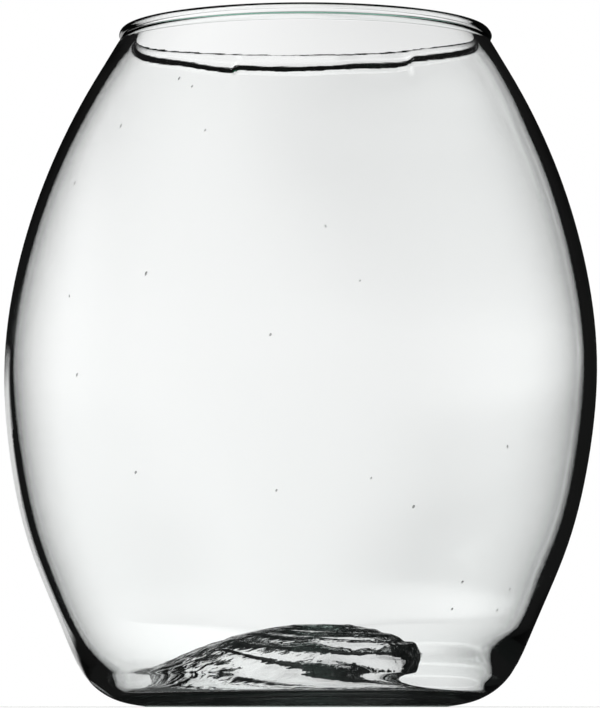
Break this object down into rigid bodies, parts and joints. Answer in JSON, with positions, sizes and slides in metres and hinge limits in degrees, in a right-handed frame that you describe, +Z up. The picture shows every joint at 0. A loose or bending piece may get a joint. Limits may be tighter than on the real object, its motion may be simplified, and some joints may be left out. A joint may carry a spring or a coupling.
{
  "type": "rose bowl vase",
  "caption": "Round clear glass bowl vase that narrows to an open mouth with a beaded lip, with a kicked-up bottom; holds cut flowers in water.",
  "frame": {"origin": "on the table, straight under the middle of the belly", "axes": "+Z up through the mouth, +X towards the side that the mouth leans to, +Y away from the pictured front"},
  "size_m": [0.2095, 0.2094, 0.24],
  "materials": {
    "blown_glass": "fire-polished clear glass with a faint grey-green tint, fine cords and a few seeds",
    "lip_glass": "fire-polished clear glass bead with a soft join where its ends overlap",
    "seal_glass": "clear glass wad with a swirled, wrinkled underside"
  },
  "bodies": {
    "root": {"vase_body": "blown_glass", "lip_wrap": "lip_glass", "pontil_seal": "seal_glass"}
  },
  "joints": []
}
